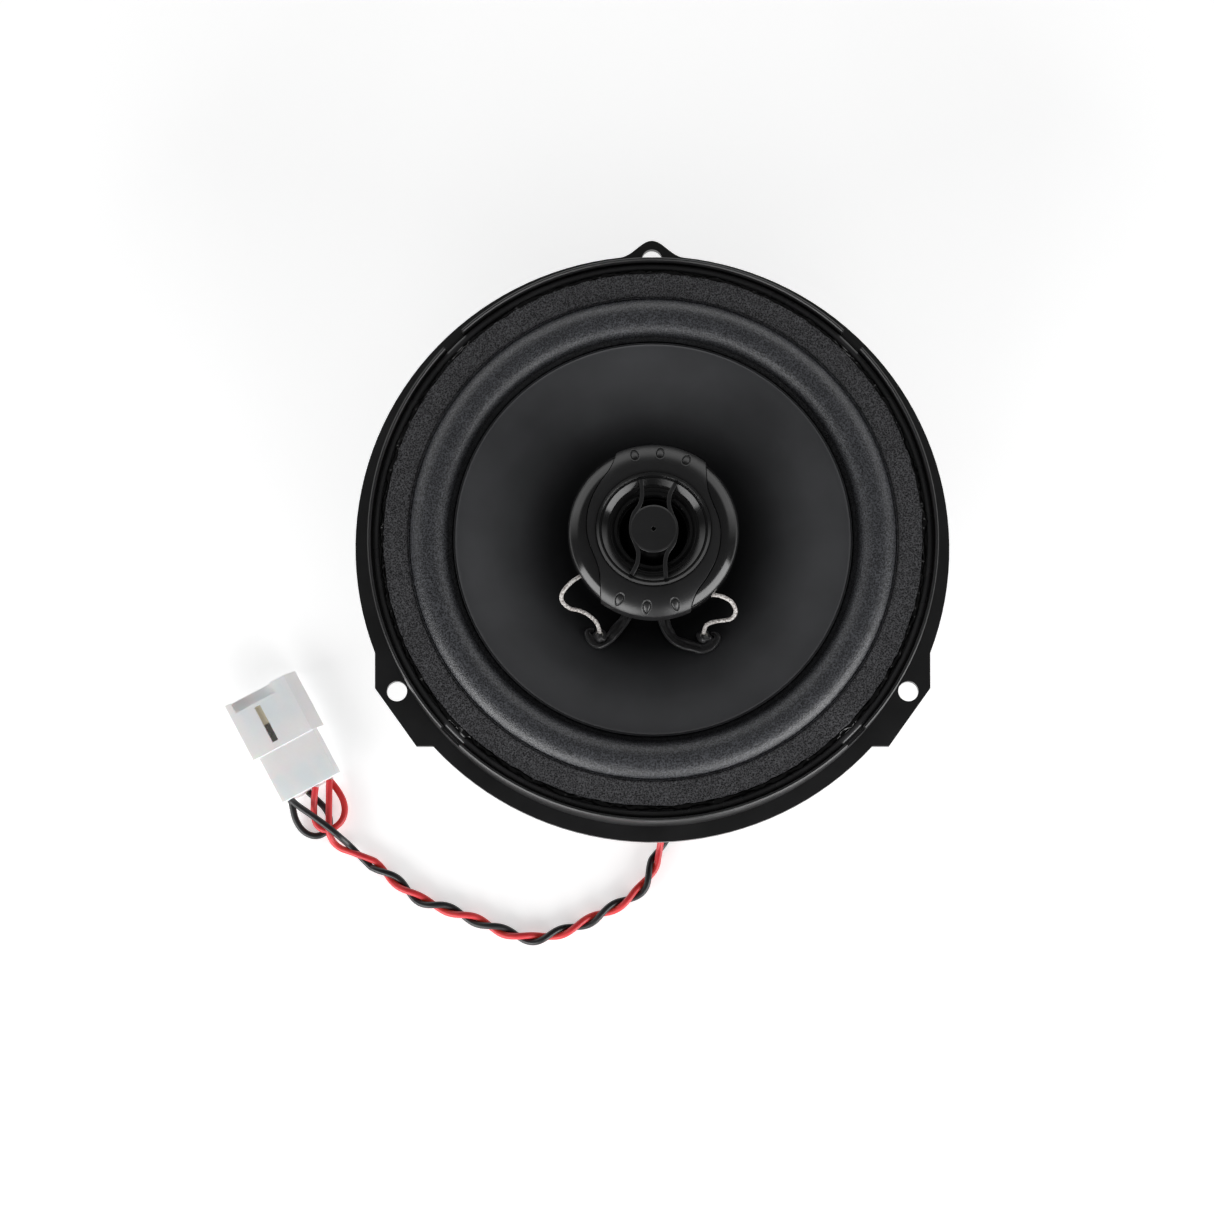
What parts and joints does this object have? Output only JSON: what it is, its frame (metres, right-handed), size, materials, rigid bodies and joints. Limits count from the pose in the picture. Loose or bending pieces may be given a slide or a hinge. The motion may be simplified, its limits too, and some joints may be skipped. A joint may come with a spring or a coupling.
{
  "type": "coaxial car speaker",
  "caption": "Round coaxial car loudspeaker in a can-shaped adapter ring with a three-hole flange, a tweeter pod on a post, and a twisted lead ending in a white plug.",
  "frame": {"origin": "on the driver's axis, at the flat back of the magnet system, which is the surface it rests on", "axes": "+Z along the driver's axis towards the listener, +Y towards the flange's top tab"},
  "size_m": [0.2156, 0.2062, 0.0697],
  "materials": {
    "adapter_plastic": "satin moulded black plastic",
    "sealant": "glossy black sealant",
    "basket_paint": "black paint, fine texture",
    "plain_steel": "zinc plated",
    "dark_steel": "black passivated steel",
    "gasket_foam": "grainy dark foam",
    "surround_rubber": "grainy dark rubberised foam",
    "spider_cloth": "resin treated cloth",
    "ferrite": "sintered ferrite, ground faces",
    "cone_plastic": "satin dark grey polypropylene",
    "former_aluminium": "thin rolled foil",
    "copper_wire": "enamelled copper",
    "glue": "glossy black adhesive",
    "tinsel": "off-white braid over tinsel wire",
    "pod_plastic": "satin black plastic",
    "pod_gloss": "polished black plastic",
    "dome_film": "thin dark film",
    "neodymium": "nickel plated",
    "capacitor_film": "dipped film capacitor",
    "board": "brown phenolic board",
    "tinned_brass": "tinned brass",
    "brass": "stamped brass",
    "red_pvc": "red PVC insulation",
    "black_pvc": "black PVC insulation",
    "connector_nylon": "natural white nylon",
    "lock_nylon": "beige nylon"
  },
  "bodies": {
    "frame": {"adapter_ring": "adapter_plastic", "sealant_bead": "sealant", "basket": "basket_paint", "basket_rivets": "plain_steel", "front_gasket": "gasket_foam", "surround": "surround_rubber", "spider": "spider_cloth", "yoke": "dark_steel", "magnet": "ferrite", "top_plate": "dark_steel", "tweeter_post": "pod_plastic", "woofer_lead_left": "tinsel", "woofer_lead_right": "tinsel", "tweeter_lead_left": "tinsel", "tweeter_lead_right": "tinsel", "pod_base": "pod_plastic", "pod_bezel": "pod_plastic", "face_plate": "pod_plastic", "waveguide_ring": "pod_gloss", "tweeter_guard": "pod_plastic", "tweeter_cup": "plain_steel", "tweeter_magnet": "neodymium", "tweeter_pole_plate": "plain_steel", "tweeter_suspension": "dome_film", "tweeter_capacitor": "capacitor_film", "terminal_board": "board", "terminal_rivets": "tinned_brass", "terminal_tab_positive": "tinned_brass", "terminal_tab_negative": "tinned_brass", "push_on_positive": "brass", "push_on_negative": "brass", "sleeve_positive": "red_pvc", "sleeve_negative": "black_pvc", "red_lead_start": "red_pvc", "black_lead_start": "black_pvc", "twisted_pair": "red_pvc", "red_lead_end": "red_pvc", "black_lead_end": "black_pvc", "red_jumper": "red_pvc", "black_jumper": "black_pvc", "connector_housing": "connector_nylon", "connector_lock": "lock_nylon", "connector_contacts": "tinned_brass"},
    "cone": {"cone": "cone_plastic", "coil_former": "former_aluminium", "coil_winding": "copper_wire", "coil_lead_left": "glue", "coil_lead_right": "glue", "lead_eyelets": "tinned_brass"},
    "tweeter": {"tweeter_dome": "dome_film", "tweeter_coil": "copper_wire"}
  },
  "joints": [
    {"name": "cone_travel", "type": "slide", "parent": "frame", "child": "cone", "axis": [0, 0, 1], "range_m": [-0.004, 0.004], "stiffness_N_per_m": 2000, "deforming": ["surround", "spider", "tweeter_lead_left", "tweeter_lead_right", "woofer_lead_left", "woofer_lead_right"]},
    {"name": "tweeter_travel", "type": "slide", "parent": "frame", "child": "tweeter", "axis": [0, 0, 1], "range_m": [-0.0003, 0.0003], "stiffness_N_per_m": 5000, "deforming": ["tweeter_suspension"]}
  ]
}
